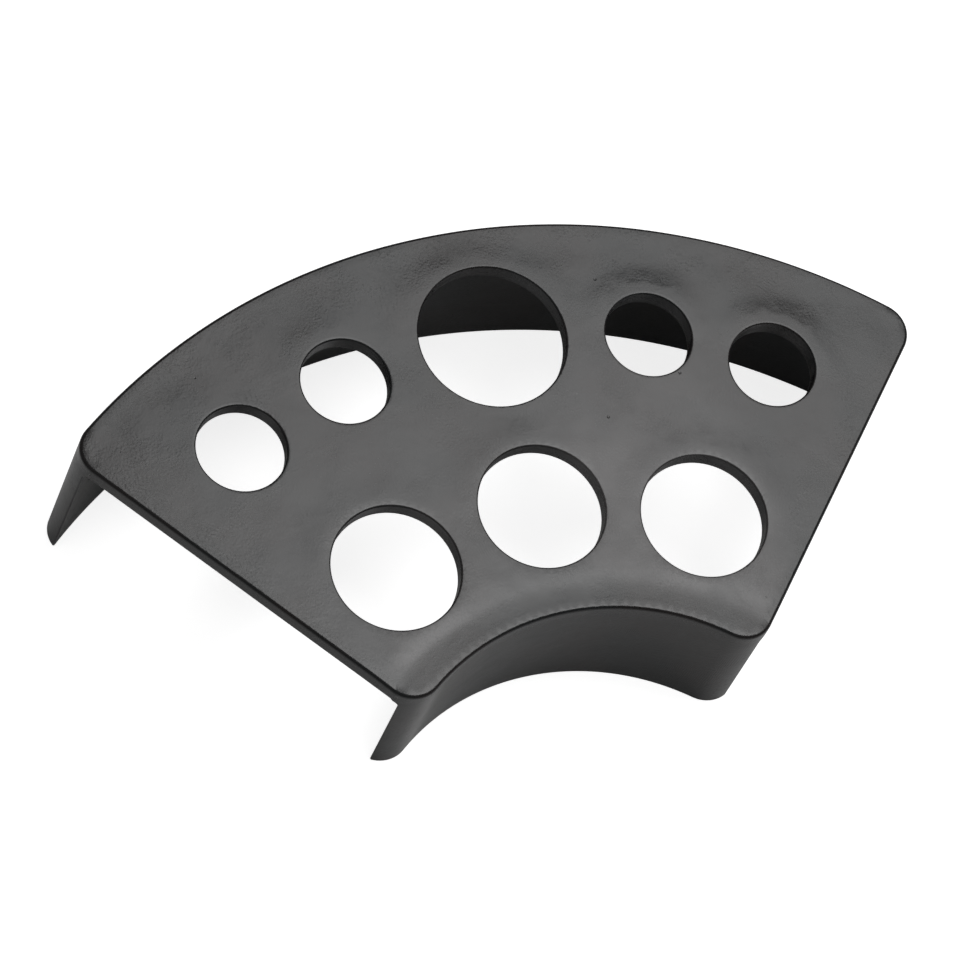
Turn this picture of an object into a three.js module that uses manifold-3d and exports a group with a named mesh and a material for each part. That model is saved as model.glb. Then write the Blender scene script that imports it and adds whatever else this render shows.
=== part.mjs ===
// A fan-shaped rack for small colour cups, moulded in one piece from black plastic.
// Round holes in its deck hold the cups by their rims. A wall along the outer arc and
// another along the inner arc hold the deck up, and the two straight sides stay open.
// The outer wall is the taller, so the deck slopes down towards the person using it.
//
// The moulding is shown as its three plain sections, which meet without overlapping:
// the top plate, the outer wall and the inner wall.
//
// Millimetres, +Z up. X runs along the fan's width and Y towards its outer arc.
// The origin is at the middle of the footprint, on the surface that the rack stands on.

import * as THREE from "three";
import { mergeVertices } from "three/addons/utils/BufferGeometryUtils.js";
import manifoldModule from "manifold-3d";

const manifold = await manifoldModule();
manifold.setup();
const { Manifold, Mesh: SolidMesh } = manifold;

const radians = THREE.MathUtils.degToRad;

// Driving dimensions. The arcs, the holes and the walls share one axis, the fan's axis,
// and depths are measured down from the deck, square to it.

const deck = {
  outerRadius: 72.15,
  innerRadius: 26.95,
  thickness: 2.05,
  cornerRadius: 3.45,
  sideAngle: 40.8, // degrees between the fan's middle line and each straight side
  sideOffset: 1.75, // how far each straight side lies outside the fan's axis
  slope: 6.6, // degrees
  heightAtAxis: 14.6, // height above the base of the deck's plane, at the fan's axis
};

// Rows of cup holes: each is one pitch circle, with the angle of each hole from the
// fan's middle line, in degrees.
const smallHole = 4.85;
const mediumHole = 6.95;
const largeHole = 8.2;
const holeRows = [
  {
    pitchRadius: 59.2,
    holes: [
      { angle: -30.65, radius: smallHole },
      { angle: -17, radius: smallHole },
      { angle: 0, radius: largeHole },
      { angle: 17, radius: smallHole },
      { angle: 30.65, radius: smallHole },
    ],
  },
  {
    pitchRadius: 39.1,
    holes: [
      { angle: -26.35, radius: mediumHole },
      { angle: 0, radius: mediumHole },
      { angle: 26.35, radius: mediumHole },
    ],
  },
];

// Every outside face flares towards the base, so that the moulding leaves its mould.
// Drafts are in degrees.
const outerWall = { thickness: 2.6, outsideDraft: 0.3, insideDraft: 1 };
const innerWall = { thickness: 2.4, outsideDraft: 1.5, insideDraft: 1.7 };
const sideDraft = 2.6;

const outerArcSegments = 56;
const innerArcSegments = 40;
const cornerSegments = 12;
const holeSegments = 72;
const coreSegments = 240;
const reach = 40; // longer than any wall, for shapes that are trimmed afterwards

// The outline

function arcPoints(centre, radius, from, to, segments) {
  const points = [];
  for (let i = 0; i <= segments; i += 1) {
    const angle = from + ((to - from) * i) / segments;
    const x = centre.x + radius * Math.cos(angle);
    const y = centre.y + radius * Math.sin(angle);
    points.push(new THREE.Vector2(x, y));
  }
  return points;
}

// The centre of a corner that touches the right-hand side line and the circle around
// the fan's axis on which the centre lies.
function cornerCentre(centreRadius, sideOffset) {
  const across = sideOffset - deck.cornerRadius;
  const along = Math.sqrt(centreRadius ** 2 - across ** 2);
  const side = radians(deck.sideAngle);
  const x = across * Math.cos(side) + along * Math.sin(side);
  const y = -across * Math.sin(side) + along * Math.cos(side);
  return new THREE.Vector2(x, y);
}

// How far a face with this draft moves over a depth.
function flare(depth, draft) {
  return depth * Math.tan(radians(draft));
}

// The fan's outline at a depth below the deck's plane, anticlockwise.
function fanOutline(depth) {
  const outer = deck.outerRadius + flare(depth, outerWall.outsideDraft);
  const inner = deck.innerRadius - flare(depth, innerWall.outsideDraft);
  const sideOffset = deck.sideOffset + flare(depth, sideDraft);
  const corner = deck.cornerRadius;
  const outerCorner = cornerCentre(outer - corner, sideOffset);
  const innerCorner = cornerCentre(inner + corner, sideOffset);
  const sideNormal = -radians(deck.sideAngle);
  const innerEnd = innerCorner.angle() - Math.PI;
  const arcEnd = outerCorner.angle();

  const rightInner = arcPoints(innerCorner, corner, innerEnd, sideNormal, cornerSegments);
  const rightOuter = arcPoints(outerCorner, corner, sideNormal, arcEnd, cornerSegments);
  const right = [...rightInner, ...rightOuter];
  const left = right.map((point) => new THREE.Vector2(-point.x, point.y)).reverse();
  const axis = new THREE.Vector2(0, 0);
  const rightEnd = innerCorner.angle();
  const outerArc = arcPoints(axis, outer, arcEnd, Math.PI - arcEnd, outerArcSegments);
  const innerArc = arcPoints(axis, inner, Math.PI - rightEnd, rightEnd, innerArcSegments);
  return [...right, ...outerArc.slice(1, -1), ...left, ...innerArc.slice(1, -1)];
}

// Solids

// A solid from a closed geometry.
function toSolid(geometry) {
  geometry.deleteAttribute("normal");
  geometry.deleteAttribute("uv");
  const merged = mergeVertices(geometry);
  const mesh = new SolidMesh({
    numProp: 3,
    vertProperties: new Float32Array(merged.getAttribute("position").array),
    triVerts: new Uint32Array(merged.getIndex().array),
  });
  return new Manifold(mesh);
}

// A closed solid between two outlines with the same number of points, the lower one
// at `bottom` and the upper one at `top`.
function loft(lower, upper, bottom, top) {
  const count = lower.length;
  const vertices = [];
  lower.forEach((point) => vertices.push(point.x, point.y, bottom));
  upper.forEach((point) => vertices.push(point.x, point.y, top));
  const triangles = [];
  for (let i = 0; i < count; i += 1) {
    const next = (i + 1) % count;
    triangles.push(i, next, count + next);
    triangles.push(i, count + next, count + i);
  }
  for (const [a, b, c] of THREE.ShapeUtils.triangulateShape(upper, [])) {
    triangles.push(count + a, count + b, count + c);
  }
  for (const [a, b, c] of THREE.ShapeUtils.triangulateShape(lower, [])) {
    triangles.push(a, c, b);
  }
  const geometry = new THREE.BufferGeometry();
  geometry.setAttribute("position", new THREE.Float32BufferAttribute(vertices, 3));
  geometry.setIndex(triangles);
  return toSolid(geometry);
}

// The whole moulding with nothing hollowed out, from the deck's plane downwards.
function flaredBlock() {
  return loft(fanOutline(reach), fanOutline(0), -reach, 0);
}

// A round core on the fan's axis, whose radius is `radius` at the underside of the
// deck and widens below it by the draft, or narrows if the draft is negative.
function roundCore(radius, draft) {
  const lowerRadius = radius + flare(reach - deck.thickness, draft);
  const upperRadius = radius - flare(deck.thickness, draft);
  const core = new THREE.CylinderGeometry(upperRadius, lowerRadius, reach, coreSegments);
  core.rotateX(Math.PI / 2).translate(0, 0, -reach / 2);
  return toSolid(core);
}

// A round core that makes one cup hole, through the deck at x, y.
function holeCore(radius, x, y) {
  const core = new THREE.CylinderGeometry(radius, radius, 2 * reach, holeSegments);
  core.rotateX(Math.PI / 2).translate(x, y, 0);
  return toSolid(core);
}

// Keeps the part of a solid that lies deeper than `depth` below the deck's plane.
function below(solid, depth) {
  return solid.trimByPlane([0, 0, -1], depth);
}

function topPlate() {
  let plate = flaredBlock().trimByPlane([0, 0, 1], -deck.thickness);
  for (const row of holeRows) {
    for (const { angle, radius } of row.holes) {
      const x = row.pitchRadius * Math.sin(radians(angle));
      const y = row.pitchRadius * Math.cos(radians(angle));
      plate = plate.subtract(holeCore(radius, x, y));
    }
  }
  return plate;
}

function outerWallSolid() {
  const insideRadius = deck.outerRadius - outerWall.thickness;
  const core = roundCore(insideRadius, outerWall.insideDraft);
  return below(flaredBlock(), deck.thickness).subtract(core);
}

function innerWallSolid() {
  const insideRadius = deck.innerRadius + innerWall.thickness;
  const core = roundCore(insideRadius, -innerWall.insideDraft);
  return below(flaredBlock(), deck.thickness).intersect(core);
}

// Placing

// Leans a solid from the deck's frame to the deck's slope and trims it at the base.
function stand(solid) {
  const sloped = solid.rotate([deck.slope, 0, 0]);
  return sloped.translate([0, 0, deck.heightAtAxis]).trimByPlane([0, 0, 1], 0);
}

function toGeometry(solid) {
  const { vertProperties, triVerts } = solid.getMesh();
  const geometry = new THREE.BufferGeometry();
  geometry.setAttribute("position", new THREE.BufferAttribute(vertProperties, 3));
  geometry.setIndex(new THREE.BufferAttribute(triVerts, 1));
  geometry.computeVertexNormals();
  return geometry;
}

const blackPlastic = {
  color: 0x2b2a2a,
  roughness: 0.5,
  metalness: 0,
  flatShading: true,
};

const sections = [
  { name: "top_plate", solid: stand(topPlate()) },
  { name: "outer_wall", solid: stand(outerWallSolid()) },
  { name: "inner_wall", solid: stand(innerWallSolid()) },
];

const whole = new THREE.Box3();
for (const { solid } of sections) {
  const { min, max } = solid.boundingBox();
  whole.expandByPoint(new THREE.Vector3(...min));
  whole.expandByPoint(new THREE.Vector3(...max));
}

const cupRack = new THREE.Group();
cupRack.name = "cup_rack";
cupRack.position.y = -(whole.min.y + whole.max.y) / 2;
for (const { name, solid } of sections) {
  const material = new THREE.MeshStandardMaterial(blackPlastic);
  const mesh = new THREE.Mesh(toGeometry(solid), material);
  mesh.name = name;
  cupRack.add(mesh);
}

export default cupRack;
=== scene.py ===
import math

import bmesh
import bpy
from mathutils import Matrix, Vector, noise
from mathutils.geometry import delaunay_2d_cdt


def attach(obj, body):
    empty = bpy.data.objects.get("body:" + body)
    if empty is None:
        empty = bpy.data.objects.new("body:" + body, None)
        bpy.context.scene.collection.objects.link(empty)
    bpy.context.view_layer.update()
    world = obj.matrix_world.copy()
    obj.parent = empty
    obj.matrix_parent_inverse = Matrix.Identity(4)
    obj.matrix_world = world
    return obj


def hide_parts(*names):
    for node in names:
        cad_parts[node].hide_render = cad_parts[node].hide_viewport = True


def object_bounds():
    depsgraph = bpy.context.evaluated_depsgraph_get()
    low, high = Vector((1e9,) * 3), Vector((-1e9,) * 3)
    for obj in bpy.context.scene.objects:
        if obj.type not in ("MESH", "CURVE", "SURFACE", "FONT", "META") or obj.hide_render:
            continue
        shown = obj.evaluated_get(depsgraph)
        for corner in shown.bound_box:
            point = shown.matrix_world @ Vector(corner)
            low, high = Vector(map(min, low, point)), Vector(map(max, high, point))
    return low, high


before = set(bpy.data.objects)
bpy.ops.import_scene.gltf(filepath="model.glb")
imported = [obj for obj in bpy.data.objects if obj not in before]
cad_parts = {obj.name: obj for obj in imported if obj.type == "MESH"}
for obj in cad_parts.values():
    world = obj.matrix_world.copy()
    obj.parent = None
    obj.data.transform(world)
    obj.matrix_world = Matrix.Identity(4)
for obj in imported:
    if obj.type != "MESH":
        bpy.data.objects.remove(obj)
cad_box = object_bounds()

# A fan-shaped rack for small colour cups, moulded in one piece from black plastic.
# The moulding is built in the same three sections as the CAD model, top plate, outer
# wall and inner wall, each with its rounded edges and fillets.
# Shapes are worked out in millimetres in the deck's own frame, where the fan's axis is
# the Z axis and the deck's face is Z = 0, and are moved to the rack's frame at the end.

MM = 0.001

# Driving dimensions, the same as the CAD model's, in millimetres and degrees.

OUTER_RADIUS = 72.15
INNER_RADIUS = 26.95
THICKNESS = 2.05
CORNER_RADIUS = 3.45
SIDE_ANGLE = 40.8
SIDE_OFFSET = 1.75
SIDE_DRAFT = 2.6
SLOPE = 6.6
HEIGHT_AT_AXIS = 14.6

SMALL_HOLE = 4.85
MEDIUM_HOLE = 6.95
LARGE_HOLE = 8.2
OUTER_ROW = 59.2
INNER_ROW = 39.1
HOLES = [
    (OUTER_ROW, -30.65, SMALL_HOLE),
    (OUTER_ROW, -17.0, SMALL_HOLE),
    (OUTER_ROW, 0.0, LARGE_HOLE),
    (OUTER_ROW, 17.0, SMALL_HOLE),
    (OUTER_ROW, 30.65, SMALL_HOLE),
    (INNER_ROW, -26.35, MEDIUM_HOLE),
    (INNER_ROW, 0.0, MEDIUM_HOLE),
    (INNER_ROW, 26.35, MEDIUM_HOLE),
]

# The walls: each one's outside radius at the deck's plane, its inside radius at the
# deck's underside, its drafts, and which way its outside face looks, 1 away from the
# fan's axis or -1 towards it.

OUTER = {
    "name": "outer_wall",
    "outside": OUTER_RADIUS,
    "inside": OUTER_RADIUS - 2.6,
    "outside_draft": 0.3,
    "inside_draft": 1.0,
    "away": 1,
}
INNER = {
    "name": "inner_wall",
    "outside": INNER_RADIUS,
    "inside": INNER_RADIUS + 2.4,
    "outside_draft": 1.5,
    "inside_draft": 1.7,
    "away": -1,
}

# Rounding of the edges and corners, which the CAD model leaves sharp.

DECK_ROUNDING = 0.39
FOOT_ROUNDING = 0.18
HOLE_ROUNDING = 0.2
TIP_ROUNDING = 0.16
FILLET = 0.8

# How the deck's face departs from a plane as the plastic cools: a trough beside each
# wall, a lip beyond each hole, and shallow waves everywhere. A trough is an arc, given by
# its centre's distance in front of the fan's axis, its radius, its depth and its width.

INNER_TROUGH = (4.4, 33.9, 0.18, 1.2)
OUTER_TROUGH = (0.0, OUTER_RADIUS - 2.4, 0.04, 2.0)
LIP_HEIGHT = 0.125
LIP_LEAN = 40.0  # how far to the right a hole's lip is twice as high as in the middle
LIP_WIDTH = 2.8
LIP_STEEPNESS = 6
WAVE_DEPTH = 0.08
WAVE_SIZE = 9.0
FINE_WAVE_SIZE = WAVE_SIZE / 2.3
FINE_WAVE_SHARE = 0.4

# How finely the shapes are divided.

ARC_STEPS = 44
CORNER_STEPS = 12
SIDE_STEPS = 14
TIP_STEPS = 6
ROUNDING_STEPS = 4
WALL_ROWS = 5
HOLE_STEPS = 88
HOLE_RINGS = (0.45, 0.95, 1.6)  # rings of points round each hole, by distance from its rim
DECK_SPACING = 1.25  # of the points over the rest of the deck
HOLE_CLEARANCE = 2.3  # between those points and the holes
EDGE_CLEARANCE = 1.0  # between any of the points and the deck's edges
REACH = 40.0  # deeper than any wall
SAME_POINT = 0.0005  # points nearer than this are merged
SHARP_ANGLE = math.radians(50)

# The black plastic's colours.

BROWN_BLACK = (0.0116, 0.0098, 0.0096, 1)
BLUE_BLACK = (0.0092, 0.0098, 0.0102, 1)
# Painted sheen: a pale grey that stands in for light reflected off the deck.
PAINTED_SHEEN_GREY = (0.085, 0.081, 0.081, 1)
# Painted highlight: a pale grey for the light off the inner trough's outer slope.
TROUGH_HIGHLIGHT_GREY = (0.09, 0.087, 0.087, 1)
# Painted highlight: a pale grey for the streak of reflected light where the inner wall bends.
BEND_HIGHLIGHT_GREY = (0.17, 0.165, 0.165, 1)
SCUFF_BLACK = (0.003, 0.003, 0.003, 1)
DUST_GREY = (0.16, 0.16, 0.16, 1)
LINES_PER_RADIAN = 38.0

# Floor, lights and camera, in metres and degrees in the rack's frame. A light is given by
# its name, its place, its width along X, its length along Y and how bright it looks.

FLOOR_SIZE = 6.0
FLOOR_GREY = 0.74
FLOOR_LIFT = 0.8
ROOM_BRIGHTNESS = 0.1
OVERHEAD = ("overhead", (0.245, 0.07, 0.57), 0.49, 0.44, 2.9)
OVERHEAD_CORE = ("overhead_core", (0.14, -0.04, 0.56), 0.3, 0.22, 2.2)
FILL = ("fill", (-0.25, -0.3, 0.55), 0.7, 0.7, 1.0)

VIEW_AZIMUTH = 35.28
VIEW_ELEVATION = 57.67
VIEW_ROLL = 21.64
VIEW_TARGET = (-0.00287, -0.00035, 0.01129)
VIEW_DISTANCE = 0.4273
FOCAL_LENGTH = 148.5
SENSOR_WIDTH = 36

# Plane geometry


def tangent(degrees):
    return math.tan(math.radians(degrees))


def polar(centre, radius, angle):
    return Vector((centre.x + radius * math.cos(angle), centre.y + radius * math.sin(angle)))


def angle_of(vector):
    return math.atan2(vector.y, vector.x)


def arc(centre, radius, start, end, steps):
    """Points along an arc, both ends included. It runs the short way round."""
    sweep = (end - start + math.pi) % (2 * math.pi) - math.pi
    return [polar(centre, radius, start + sweep * i / steps) for i in range(steps + 1)]


def circle(centre, radius, steps):
    """Points round a whole circle, each given once, clockwise."""
    return [polar(centre, radius, -2 * math.pi * i / steps) for i in range(steps)]


def quarter_turn():
    """Angles through a quarter turn, for the rounded edges and the fillets."""
    return [math.pi / 2 * i / ROUNDING_STEPS for i in range(ROUNDING_STEPS + 1)]


def mirrored(half):
    """A closed loop from its right-hand half."""
    left = [Vector((-point.x, point.y)) for point in reversed(half[1:-1])]
    return half + left


def at_depth(points, depth):
    """The plane points at a depth below the deck's face."""
    return [Vector((point.x, point.y, -depth)) for point in points]


ORIGIN = Vector((0, 0))
SIDE_DIRECTION = -math.radians(SIDE_ANGLE)


def outside_radius(wall, depth):
    return wall["outside"] + wall["away"] * depth * tangent(wall["outside_draft"])


def corner_centre(wall, depth):
    """Centre of the right-hand corner that joins an arc of the fan to its side line."""
    centre_radius = outside_radius(wall, depth) - wall["away"] * CORNER_RADIUS
    across = SIDE_OFFSET + depth * tangent(SIDE_DRAFT) - CORNER_RADIUS
    along = math.sqrt(centre_radius**2 - across**2)
    side = polar(ORIGIN, across, SIDE_DIRECTION)
    return side + polar(ORIGIN, along, SIDE_DIRECTION + math.pi / 2)


def tip_centre(corner, face_radius, away):
    """Centre of the small circle that rounds the tip of a wall's cross-section: it
    touches the corner's circle and the wall's inside face."""
    from_axis = face_radius + away * TIP_ROUNDING
    from_corner = CORNER_RADIUS - TIP_ROUNDING
    gap = corner.length
    along = (from_axis**2 - from_corner**2 + gap**2) / (2 * gap)
    across = math.sqrt(from_axis**2 - along**2)
    outwards = corner.normalized()
    sideways = Vector((outwards.y, -outwards.x))
    return outwards * along + sideways * across


def inside_radius(wall, depth, fillet):
    """Radius of a wall's inside face. fillet is how far the face stands proud of the
    plain wall at that depth."""
    slope = tangent(wall["inside_draft"]) * (depth - THICKNESS)
    return wall["inside"] + wall["away"] * (slope - fillet)


# Wall sections


def wall_half(wall, depth, inset, fillet):
    """Right-hand half of a wall's cross-section at one depth, from its middle along
    the outside, round the tip and back along the inside face to the middle."""
    away = wall["away"]
    corner = corner_centre(wall, depth)
    face = inside_radius(wall, depth, fillet)
    tip = tip_centre(corner, face, away)
    outside = outside_radius(wall, depth) - away * inset
    inside = face + away * inset
    middle = math.pi / 2
    arc_end = angle_of(corner)
    arc_direction = angle_of(corner * away)
    tip_direction = angle_of(tip - corner)
    face_direction = angle_of(tip * -away)
    outer_path = arc(ORIGIN, outside, middle, arc_end, ARC_STEPS)
    bend = arc(corner, CORNER_RADIUS - inset, arc_direction, tip_direction, CORNER_STEPS)
    outer_path += bend[1:]
    tip_path = arc(tip, TIP_ROUNDING - inset, tip_direction, face_direction, TIP_STEPS)
    back = arc(ORIGIN, inside, angle_of(tip), middle, ARC_STEPS + CORNER_STEPS)
    return outer_path + tip_path[1:] + back[1:]


def wall_loop(wall, depth, inset, fillet):
    """A wall's cross-section at one depth. inset is how far it is drawn in all round."""
    return at_depth(mirrored(wall_half(wall, depth, inset, fillet)), depth)


def foot_loop(wall, inset, lift):
    """The wall's cross-section along the sloping base, raised by lift."""
    shallow = wall_loop(wall, THICKNESS + FILLET, inset, 0)
    deep = wall_loop(wall, REACH, inset, 0)
    base = HEIGHT_AT_AXIS / math.cos(math.radians(SLOPE)) - lift
    points = []
    for start, end in zip(shallow, deep):
        run = end - start
        # How far along the run the point lies on the plane z = -(base + y tan(slope)).
        above = start.z + base + start.y * tangent(SLOPE)
        fall = -(run.z + run.y * tangent(SLOPE))
        points.append(start + run * above / fall)
    return points


def wall_loops(wall):
    """A wall's loops from the plate's underside down to its foot."""
    loops = []
    for turn in quarter_turn():
        proud = FILLET * (1 - math.sin(turn))
        depth = THICKNESS + FILLET * (1 - math.cos(turn))
        loops.append(wall_loop(wall, depth, 0, proud))
    feet = []
    for turn in quarter_turn():
        inset = FOOT_ROUNDING * (1 - math.cos(turn))
        lift = FOOT_ROUNDING * (1 - math.sin(turn))
        feet.append(foot_loop(wall, inset, lift))
    top, bottom = loops[-1], feet[0]
    for row in range(1, WALL_ROWS):
        share = row / WALL_ROWS
        loops.append([upper.lerp(lower, share) for upper, lower in zip(top, bottom)])
    return loops + feet


# Meshes


def new_object(name, data):
    made = bpy.data.objects.new(name, data)
    bpy.context.scene.collection.objects.link(made)
    return made


def add_loop(shape, points):
    return [shape.verts.new(point) for point in points]


def bridge(shape, upper, lower):
    """Faces between two closed loops with the same number of points."""
    count = len(upper)
    for i in range(count):
        after = (i + 1) % count
        shape.faces.new((upper[i], upper[after], lower[after], lower[i]))


def ladder(shape, loop):
    """Closes a wall's end loop with faces that run across the wall."""
    count = len(loop)
    half = count // 2
    rungs = ARC_STEPS + CORNER_STEPS + TIP_STEPS // 2
    for i in range(rungs):
        for step in (1, -1):
            a = loop[(step * i) % count]
            b = loop[(step * (i + 1)) % count]
            c = loop[(half - step * (i + 1)) % count]
            d = loop[(half - step * i) % count]
            corners = [a, b, c, d] if b is not c else [a, b, d]
            shape.faces.new(corners)


def finish_mesh(shape, name):
    """Merges points that fall together, turns the faces outwards and makes a piece."""
    bmesh.ops.remove_doubles(shape, verts=shape.verts, dist=SAME_POINT)
    bmesh.ops.dissolve_degenerate(shape, edges=shape.edges, dist=SAME_POINT)
    bmesh.ops.recalc_face_normals(shape, faces=shape.faces)
    mesh = bpy.data.meshes.new(name)
    shape.to_mesh(mesh)
    shape.free()
    return new_object(name, mesh)


def wall_piece(wall):
    shape = bmesh.new()
    loops = [add_loop(shape, points) for points in wall_loops(wall)]
    for upper, lower in zip(loops, loops[1:]):
        bridge(shape, upper, lower)
    ladder(shape, loops[0])
    ladder(shape, loops[-1])
    return finish_mesh(shape, wall["name"] + "_moulding")


# The top plate


def plate_outline(depth, inset):
    """The plate's outline, right-hand half then left, with the share of the edge's
    underside rounding at each point: none over the walls, all of it along the sides."""
    right = []
    shares = []
    for wall in (OUTER, INNER):
        corner = corner_centre(wall, depth)
        seam_corner = corner_centre(wall, THICKNESS)
        seam_face = inside_radius(wall, THICKNESS, FILLET)
        tip = tip_centre(seam_corner, seam_face, wall["away"])
        tip_direction = angle_of(tip - seam_corner)
        arc_direction = angle_of(corner * wall["away"])
        radius = CORNER_RADIUS - inset
        outside = outside_radius(wall, depth) - wall["away"] * inset
        path = arc(ORIGIN, outside, math.pi / 2, angle_of(corner), ARC_STEPS)
        path += arc(corner, radius, arc_direction, tip_direction, CORNER_STEPS)[1:]
        share = [0.0] * len(path)
        path += arc(corner, radius, tip_direction, SIDE_DIRECTION, CORNER_STEPS // 2)[1:]
        share += [(i + 1) / (CORNER_STEPS // 2) for i in range(CORNER_STEPS // 2)]
        if wall is OUTER:
            right, shares = path, share
        else:
            start, end = right[-1], path[-1]
            for i in range(1, SIDE_STEPS):
                right.append(start.lerp(end, i / SIDE_STEPS))
                shares.append(1.0)
            right += reversed(path)
            shares += reversed(share)
    return mirrored(right), shares + list(reversed(shares[1:-1]))


def plate_edge_loops():
    """Loops round the plate's edge, from its face down to its underside."""
    loops = []
    for turn in quarter_turn():
        inset = DECK_ROUNDING * (1 - math.sin(turn))
        depth = DECK_ROUNDING * (1 - math.cos(turn))
        outline, _ = plate_outline(depth, inset)
        loops.append(at_depth(outline, depth))
    flush, shares = plate_outline(THICKNESS, 0)
    drawn_in, _ = plate_outline(THICKNESS, DECK_ROUNDING)
    for turn in quarter_turn():
        points = []
        for outer, inner, share in zip(flush, drawn_in, shares):
            point = outer.lerp(inner, share * (1 - math.cos(turn)))
            depth = THICKNESS - DECK_ROUNDING * share * (1 - math.sin(turn))
            points.append(Vector((point.x, point.y, -depth)))
        loops.append(points)
    return loops


def hole_centre(row, angle):
    return polar(ORIGIN, row, math.radians(90 - angle))


def hole_loops(row, angle, radius):
    """Loops down a cup hole, with rounded rims, from the face to the underside."""
    centre = hole_centre(row, angle)
    levels = []
    for turn in quarter_turn():
        wider = HOLE_ROUNDING * (1 - math.sin(turn))
        levels.append((wider, HOLE_ROUNDING * (1 - math.cos(turn))))
    levels += [(wider, THICKNESS - depth) for wider, depth in reversed(levels)]
    return [at_depth(circle(centre, radius + wider, HOLE_STEPS), depth) for wider, depth in levels]


def in_hole(point, margin):
    return any(
        (point - hole_centre(row, angle)).length < radius + margin for row, angle, radius in HOLES
    )


def lattice():
    """Points spread over the deck's face, clear of its edges and its holes."""
    side = polar(ORIGIN, 1, SIDE_DIRECTION)
    points = []
    rows = round((OUTER_RADIUS - INNER_RADIUS) / DECK_SPACING)
    half_angle = math.radians(SIDE_ANGLE) + math.asin(SIDE_OFFSET / INNER_RADIUS)
    for row in range(1, rows):
        radius = INNER_RADIUS + (OUTER_RADIUS - INNER_RADIUS) * row / rows
        half = round(half_angle * radius / DECK_SPACING)
        for i in range(-half, half + 1):
            point = polar(ORIGIN, radius, math.pi / 2 + i * DECK_SPACING / radius)
            outwards = Vector((abs(point.x), point.y)).dot(side)
            if outwards < SIDE_OFFSET - EDGE_CLEARANCE and not in_hole(point, HOLE_CLEARANCE):
                points.append(point)
    for hole_row, angle, radius in HOLES:
        centre = hole_centre(hole_row, angle)
        for ring in HOLE_RINGS:
            round_hole = circle(centre, radius + ring, HOLE_STEPS // 2)
            points += [point for point in round_hole if OUTER_RADIUS - point.length > EDGE_CLEARANCE]
    return points


def fill_flat(shape, edge, rims, depth):
    """Fills the flat between the plate's edge and its holes with small triangles."""
    corners = list(edge) + [vertex for rim in rims for vertex in rim]
    places = [vertex.co.to_2d() for vertex in corners]
    for point in lattice():
        corners.append(shape.verts.new((point.x, point.y, -depth)))
        places.append(point)
    outline = list(range(len(edge)))
    borders = [outline]
    start = len(edge)
    for rim in rims:
        borders.append(list(range(start, start + len(rim))))
        start += len(rim)
    lines = []
    for border in borders:
        lines += list(zip(border, border[1:] + border[:1]))
    found, _, triangles, origins, _, _ = delaunay_2d_cdt(places, lines, [outline], 1, 1e-6)
    for a, b, c in triangles:
        middle = (found[a] + found[b] + found[c]) / 3
        if not in_hole(middle, HOLE_ROUNDING):
            shape.faces.new([corners[origins[i][0]] for i in (a, b, c)])


def sink(place):
    """How far the deck's face lies below its plane at a place."""
    total = 0.0
    for forward, radius, depth, width in (INNER_TROUGH, OUTER_TROUGH):
        from_arc = (place - Vector((0, -forward))).length - radius
        total += depth * math.exp(-((from_arc / width) ** 2))
    for row, angle, radius in HOLES:
        centre = hole_centre(row, angle)
        away = place - centre
        facing = max(away.normalized().dot(centre.normalized()), 0)
        to_rim = max(away.length - radius, 0)
        lip = LIP_HEIGHT * (1 + centre.x / LIP_LEAN)
        total -= lip * facing * math.exp(-((to_rim / LIP_WIDTH) ** LIP_STEEPNESS))
    wave = noise.noise(place.to_3d() / WAVE_SIZE)
    wave += FINE_WAVE_SHARE * noise.noise(place.to_3d() / FINE_WAVE_SIZE)
    return total + WAVE_DEPTH * (1 + wave) / 2


def settle(shape):
    """Lets the deck's face sink, and less so the deeper a point lies."""
    for vertex in shape.verts:
        share = 1 + vertex.co.z / THICKNESS
        vertex.co.z -= share * sink(vertex.co.to_2d())


def plate_piece():
    shape = bmesh.new()
    edge = [add_loop(shape, points) for points in plate_edge_loops()]
    for upper, lower in zip(edge, edge[1:]):
        bridge(shape, upper, lower)
    tops = []
    bottoms = []
    for row, angle, radius in HOLES:
        loops = [add_loop(shape, points) for points in hole_loops(row, angle, radius)]
        for upper, lower in zip(loops, loops[1:]):
            bridge(shape, upper, lower)
        tops.append(loops[0])
        bottoms.append(loops[-1])
    fill_flat(shape, edge[0], tops, 0)
    fill_flat(shape, edge[-1], bottoms, THICKNESS)
    settle(shape)
    return finish_mesh(shape, "top_plate_moulding")


def to_rack_frame(piece):
    """Leans the piece from the deck's frame to the deck's slope, in metres."""
    lean = Matrix.Rotation(math.radians(SLOPE), 4, "X")
    lift = Matrix.Translation((0, 0, HEIGHT_AT_AXIS))
    piece.data.transform(Matrix.Scale(MM, 4) @ lift @ lean)


def centre_on_footprint(pieces):
    """Moves the pieces along Y to the CAD model's middle, and returns how far: that is
    where the fan's axis then stands."""
    low = min(vertex.co.y for piece in pieces for vertex in piece.data.vertices)
    high = max(vertex.co.y for piece in pieces for vertex in piece.data.vertices)
    shift = (cad_box[0].y + cad_box[1].y - low - high) / 2
    for piece in pieces:
        piece.data.transform(Matrix.Translation((0, shift, 0)))
    return shift


def smooth(piece):
    """Smooth shading in which the wide flat faces set the direction of the light."""
    piece.data.shade_smooth()
    piece.data.set_sharp_from_angle(angle=SHARP_ANGLE)
    weighted = piece.modifiers.new("flat faces stay flat", "WEIGHTED_NORMAL")
    weighted.keep_sharp = True
    weighted.weight = 100


# The black plastic


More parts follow.
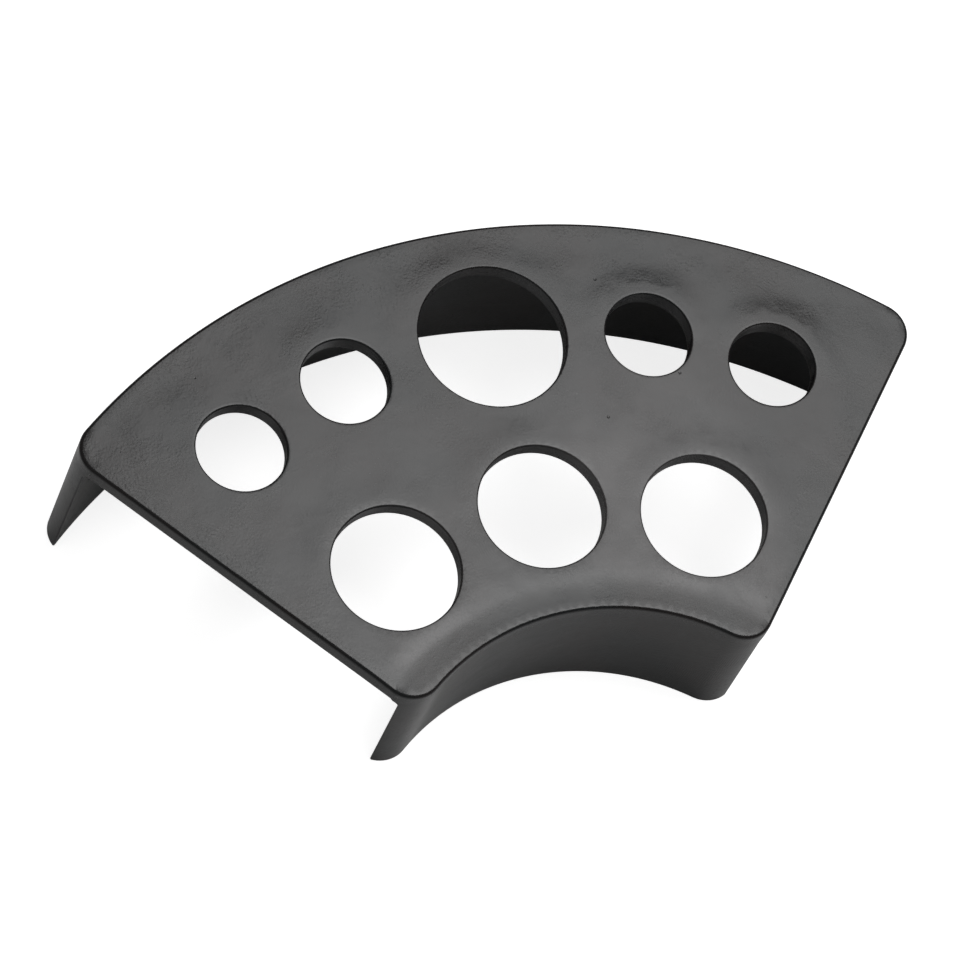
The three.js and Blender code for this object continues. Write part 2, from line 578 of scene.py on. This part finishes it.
class Weave:
    """Short ways to add and join the nodes of one material."""

    def __init__(self, name):
        self.material = bpy.data.materials.new(name)
        self.material.use_nodes = True
        self.nodes = self.material.node_tree.nodes
        self.shader = self.nodes["Principled BSDF"]

    def link(self, source, socket):
        self.material.node_tree.links.new(source, socket)

    def calculate(self, operation, *values):
        node = self.nodes.new("ShaderNodeMath")
        node.operation = operation
        for socket, value in zip(node.inputs, values):
            if isinstance(value, (int, float)):
                socket.default_value = value
            else:
                self.link(value, socket)
        return node.outputs[0]

    def plus(self, first, second):
        return self.calculate("ADD", first, second)

    def minus(self, first, second):
        return self.calculate("SUBTRACT", first, second)

    def larger(self, first, second):
        return self.calculate("MAXIMUM", first, second)

    def times(self, first, *others):
        product = first
        for value in others:
            product = self.calculate("MULTIPLY", product, value)
        return product

    def distance(self, across, along):
        """Distance from the origin of a point with these two coordinates."""
        squares = self.plus(self.times(across, across), self.times(along, along))
        return self.calculate("SQRT", squares)

    def ramp(self, value, start, end):
        """0 up to start and 1 from end on, with a smooth change between."""
        node = self.nodes.new("ShaderNodeMapRange")
        node.interpolation_type = "SMOOTHSTEP"
        node.inputs["From Min"].default_value = start
        node.inputs["From Max"].default_value = end
        self.link(value, node.inputs["Value"])
        return node.outputs[0]

    def spread(self, value, low, high):
        """A value from 0 to 1, spread from low to high."""
        node = self.nodes.new("ShaderNodeMapRange")
        node.inputs["To Min"].default_value = low
        node.inputs["To Max"].default_value = high
        self.link(value, node.inputs["Value"])
        return node.outputs[0]

    def moved(self, vector, shift):
        node = self.nodes.new("ShaderNodeMapping")
        node.inputs["Location"].default_value = shift
        self.link(vector, node.inputs["Vector"])
        return node.outputs[0]

    def noise(self, vector, size, detail=2.0, distortion=0.0):
        """Soft random patches, with size in millimetres."""
        node = self.nodes.new("ShaderNodeTexNoise")
        node.inputs["Scale"].default_value = 1 / size
        node.inputs["Detail"].default_value = detail
        node.inputs["Distortion"].default_value = distortion
        self.link(vector, node.inputs["Vector"])
        return node.outputs["Fac"]

    def specks(self, vector, spacing, radius):
        """1 inside small round specks, 0 between them; sizes in millimetres."""
        node = self.nodes.new("ShaderNodeTexVoronoi")
        node.inputs["Scale"].default_value = 1 / spacing
        self.link(vector, node.inputs["Vector"])
        return self.ramp(node.outputs["Distance"], radius / spacing, 0.3 * radius / spacing)

    def blend(self, share, first, second):
        """A colour between two colours."""
        node = self.nodes.new("ShaderNodeMix")
        node.data_type = "RGBA"
        self.link(share, node.inputs["Factor"])
        for name, colour in (("A", first), ("B", second)):
            socket = next(entry for entry in node.inputs if entry.name == name and entry.type == "RGBA")
            if isinstance(colour, tuple):
                socket.default_value = colour
            else:
                self.link(colour, socket)
        return next(entry for entry in node.outputs if entry.type == "RGBA")

    def bump(self, height, distance, previous=None):
        """Relief in which a height of 1 stands this many millimetres proud."""
        node = self.nodes.new("ShaderNodeBump")
        node.inputs["Distance"].default_value = distance * MM
        self.link(height, node.inputs["Height"])
        if previous:
            self.link(previous, node.inputs["Normal"])
        return node.outputs[0]


class BlackPlastic(Weave):
    """Black plastic from a polished mould: a satin skin with glossier cloudy marks where the
    melt flowed, a painted sheen and painted highlights in pale greys for reflected light,
    fine tool lines that run out from the fan's axis, small pits and dust. Places and sizes
    are in millimetres in the deck's own frame."""

    def __init__(self, axis_y):
        super().__init__("black_plastic")
        self.place = self.deck_place(axis_y)
        parts = self.nodes.new("ShaderNodeSeparateXYZ")
        self.link(self.place, parts.inputs[0])
        self.across, self.along, height = parts.outputs
        self.radius = self.distance(self.across, self.along)

        # How far out a point lies square to the nearer straight side, from the fan's axis.
        side = math.radians(SIDE_ANGLE)
        fold = self.times(self.calculate("ABSOLUTE", self.across), math.cos(side))
        self.side = self.minus(fold, self.times(self.along, math.sin(side)))

        # 1 on the deck's face and 0 on the walls.
        self.deck_share = self.ramp(height, -THICKNESS, -0.5 * THICKNESS)

        self.smudges = self.ramp(self.noise(self.place, 3.6, 3.0, 0.2), 0.34, 0.66)
        self.clouds = self.cloudy_marks()
        self.pits = self.specks(self.moved(self.place, (13, 7, 4)), 6.5, 0.2)
        self.scuffs = self.dark_scuffs()
        self.grain = self.noise(self.place, 0.26, 2.0)
        self.link(self.colour(), self.shader.inputs["Base Color"])
        self.link(self.roughness(), self.shader.inputs["Roughness"])
        self.link(self.relief(), self.shader.inputs["Normal"])

    def deck_place(self, axis_y):
        """Where a point is in the deck's own frame."""
        node = self.nodes.new("ShaderNodeMapping")
        node.vector_type = "TEXTURE"
        node.inputs["Location"].default_value = (0, axis_y, HEIGHT_AT_AXIS * MM)
        node.inputs["Rotation"].default_value = (math.radians(SLOPE), 0, 0)
        node.inputs["Scale"].default_value = (MM, MM, MM)
        source = self.nodes.new("ShaderNodeTexCoord")
        self.link(source.outputs["Object"], node.inputs["Vector"])
        return node.outputs[0]

    def cloudy_marks(self):
        """Large soft patches, with the smaller smudges inside them."""
        patches = self.ramp(self.noise(self.place, 16, 1.5, 0.5), 0.36, 0.64)
        return self.plus(self.times(patches, 0.6), self.times(self.smudges, 0.4))

    def dark_scuffs(self):
        """Small dark flecks, most of them near the deck's sides and its outer arc."""
        handled = self.larger(self.ramp(self.side, -3.5, SIDE_OFFSET), self.ramp(self.radius, 64, 71))
        patches = self.ramp(self.noise(self.moved(self.place, (20, 3, 0)), 6, 2.0), 0.45, 0.6)
        worn = self.times(patches, self.spread(handled, 0.15, 0.8))
        flecks = self.noise(self.moved(self.place, (5, 40, 0)), 0.35, 2.0)
        return self.times(self.ramp(flecks, 0.5, 0.72), worn)

    def painted_sheen(self):
        """A painted sheen, pale colour for reflected light, strongest beside the inner arc, from
        the middle to the right, and fading towards the outer arc and the straight sides."""
        wander = self.spread(self.noise(self.place, 9, 1.0), -2.5, 2.5)
        reach = self.plus(self.radius, wander)
        from_arcs = self.times(self.ramp(reach, 66, 36), self.ramp(reach, 29, 33))
        from_right = self.ramp(self.across, 29, 19)
        from_left = self.spread(self.ramp(self.across, -2, 8), 0.22, 1)
        from_sides = self.ramp(self.side, SIDE_OFFSET - 0.4, SIDE_OFFSET - 1.6)
        cloudy = self.spread(self.clouds, 0.45, 1)
        return self.times(from_arcs, from_right, from_left, from_sides, cloudy)

    def trough_highlight(self):
        """A painted highlight: a pale band just outside the inner trough, on the left, where its slope
        would catch the light.
        """
        forward, trough_radius, _, _ = INNER_TROUGH
        from_centre = self.distance(self.across, self.plus(self.along, forward))
        beyond = self.minus(from_centre, trough_radius)
        band = self.times(self.ramp(beyond, -0.1, 0.9), self.ramp(beyond, 3.0, 0.9))
        from_right = self.ramp(self.across, -4, -18)
        from_sides = self.ramp(self.side, SIDE_OFFSET - 0.6, SIDE_OFFSET - 4.5)
        return self.times(band, from_right, from_sides)

    def bend_highlight(self):
        """Where the inner wall turns into its left-hand corner: a painted highlight, paler patchy
        colour for the streak of reflected light there.
        """
        bend = corner_centre(INNER, THICKNESS).normalized() * INNER_RADIUS
        from_bend = self.distance(self.plus(self.across, bend.x), self.minus(self.along, bend.y))
        on_wall = self.spread(self.deck_share, 1, 0)
        patchy = self.spread(self.noise(self.place, 1.2, 3.0), 0.4, 1)
        return self.times(self.ramp(from_bend, 2.6, 0.2), on_wall, patchy)

    def tool_lines(self):
        """Fine ridges that cross the arcs, and fade in and out."""
        lines = self.nodes.new("ShaderNodeTexWave")
        lines.bands_direction = "X"
        lines.inputs["Scale"].default_value = 1
        lines.inputs["Distortion"].default_value = 0
        angle = self.calculate("ARCTAN2", self.across, self.along)
        wobble = self.spread(self.noise(self.place, 1.7, 2.0), -0.4, 0.4)
        turns = self.nodes.new("ShaderNodeCombineXYZ")
        self.link(self.plus(self.times(angle, LINES_PER_RADIAN), wobble), turns.inputs["X"])
        self.link(turns.outputs[0], lines.inputs["Vector"])
        where = self.ramp(self.noise(self.place, 6.5, 1.0), 0.52, 0.68)
        return self.times(lines.outputs["Fac"], where)

    def colour(self):
        """A near-neutral black with faint brown and blue-grey tints, under its marks, its
        painted sheen and its painted highlights.
        """
        tint = self.ramp(self.noise(self.moved(self.place, (30, 10, 0)), 11, 1.0), 0.42, 0.58)
        skin = self.blend(tint, BLUE_BLACK, BROWN_BLACK)
        # Painted sheen over the deck, in pale grey.
        with_painted_sheen = self.blend(self.painted_sheen(), skin, PAINTED_SHEEN_GREY)
        # Painted highlight beside the inner trough.
        with_trough_highlight = self.blend(self.trough_highlight(), with_painted_sheen, TROUGH_HIGHLIGHT_GREY)
        # Painted highlight on the inner wall's left-hand bend.
        with_bend_highlight = self.blend(self.bend_highlight(), with_trough_highlight, BEND_HIGHLIGHT_GREY)
        marred = self.times(self.larger(self.pits, self.scuffs), 0.5)
        scuffed = self.blend(marred, with_bend_highlight, SCUFF_BLACK)
        dust = self.times(self.specks(self.place, 5.5, 0.14), 0.4)
        return self.blend(dust, scuffed, DUST_GREY)

    def roughness(self):
        """Glossier in the clouds, duller in the scuffs and on the walls."""
        dull = self.plus(self.times(self.scuffs, 0.1), self.times(self.grain, 0.08))
        gloss = self.minus(dull, self.times(self.clouds, 0.05))
        return self.plus(gloss, self.spread(self.deck_share, 0.29, 0.24))

    def relief(self):
        """The skin's fine grain, the tool lines, the smudges and the pits."""
        coarse = self.spread(self.ramp(self.noise(self.place, 5.0, 2.0), 0.42, 0.62), 0.35, 1)
        relief = self.bump(self.times(self.grain, coarse), 0.017)
        relief = self.bump(self.tool_lines(), 0.007, relief)
        relief = self.bump(self.smudges, 0.012, relief)
        return self.bump(self.times(self.pits, -1), 0.03, relief)


# Floor, lights and camera


def pale_floor():
    """A pale sweep that looks evenly lit, with the rack's soft shadow still on it."""
    material = bpy.data.materials.new("pale_floor")
    material.use_nodes = True
    tree = material.node_tree
    tree.nodes.clear()
    output = tree.nodes.new("ShaderNodeOutputMaterial")
    matte = tree.nodes.new("ShaderNodeBsdfDiffuse")
    matte.inputs["Color"].default_value = (FLOOR_GREY, FLOOR_GREY, FLOOR_GREY, 1)
    glow = tree.nodes.new("ShaderNodeEmission")
    glow.inputs["Color"].default_value = (1, 1, 1, 1)
    path = tree.nodes.new("ShaderNodeLightPath")
    strength = tree.nodes.new("ShaderNodeMath")
    strength.operation = "MULTIPLY"
    strength.inputs[1].default_value = FLOOR_LIFT
    both = tree.nodes.new("ShaderNodeAddShader")
    tree.links.new(path.outputs["Is Camera Ray"], strength.inputs[0])
    tree.links.new(strength.outputs[0], glow.inputs["Strength"])
    tree.links.new(matte.outputs[0], both.inputs[0])
    tree.links.new(glow.outputs[0], both.inputs[1])
    tree.links.new(both.outputs[0], output.inputs["Surface"])
    mesh = bpy.data.meshes.new("floor")
    half = FLOOR_SIZE / 2
    corners = [(-half, -half, 0), (half, -half, 0), (half, half, 0), (-half, half, 0)]
    mesh.from_pydata(corners, [], [(0, 1, 2, 3)])
    mesh.materials.append(material)
    floor = new_object("floor", mesh)


def softbox(name, place, width, length, radiance):
    """A soft oval light that faces straight down. radiance is how bright it looks, where
    1 is white."""
    light = bpy.data.lights.new(name, "AREA")
    light.shape = "ELLIPSE"
    light.size = width
    light.size_y = length
    light.energy = radiance * math.pi * (math.pi / 4 * width * length)
    lamp = new_object(name, light)
    lamp.location = place
    return lamp


def lights():
    softbox(*OVERHEAD)
    softbox(*OVERHEAD_CORE)
    softbox(*FILL).visible_glossy = False
    world = bpy.data.worlds.new("studio")
    world.use_nodes = True
    background = world.node_tree.nodes["Background"]
    background.inputs["Color"].default_value = (1, 1, 1, 1)
    background.inputs["Strength"].default_value = ROOM_BRIGHTNESS
    bpy.context.scene.world = world
    bpy.context.scene.view_settings.view_transform = "Standard"


def camera():
    """The photograph's view: azimuth 0 looks along +Y, and a turn towards +X is
    positive; the frame is tilted by a roll about the line of sight."""
    azimuth = math.radians(VIEW_AZIMUTH)
    elevation = math.radians(VIEW_ELEVATION)
    x = math.sin(azimuth) * math.cos(elevation)
    y = math.cos(azimuth) * math.cos(elevation)
    forward = Vector((x, y, -math.sin(elevation)))
    lens = bpy.data.cameras.new("camera")
    lens.lens = FOCAL_LENGTH
    lens.sensor_width = SENSOR_WIDTH
    lens.clip_start = 0.01
    lens.clip_end = 50
    body = new_object("camera", lens)
    level = forward.to_track_quat("-Z", "Y").to_matrix()
    turn = Matrix.Rotation(math.radians(VIEW_ROLL), 3, "Z")
    body.rotation_euler = (level @ turn).to_euler()
    body.location = Vector(VIEW_TARGET) - forward * VIEW_DISTANCE
    bpy.context.scene.camera = body


# The rack and its studio

sections = {
    "top_plate": plate_piece(),
    "outer_wall": wall_piece(OUTER),
    "inner_wall": wall_piece(INNER),
}
for section in sections.values():
    to_rack_frame(section)
plastic = BlackPlastic(centre_on_footprint(sections.values())).material
for node, piece in sections.items():
    smooth(piece)
    piece.data.materials.append(plastic)
    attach(piece, "root")
    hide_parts(node)

camera()
pale_floor()
lights()
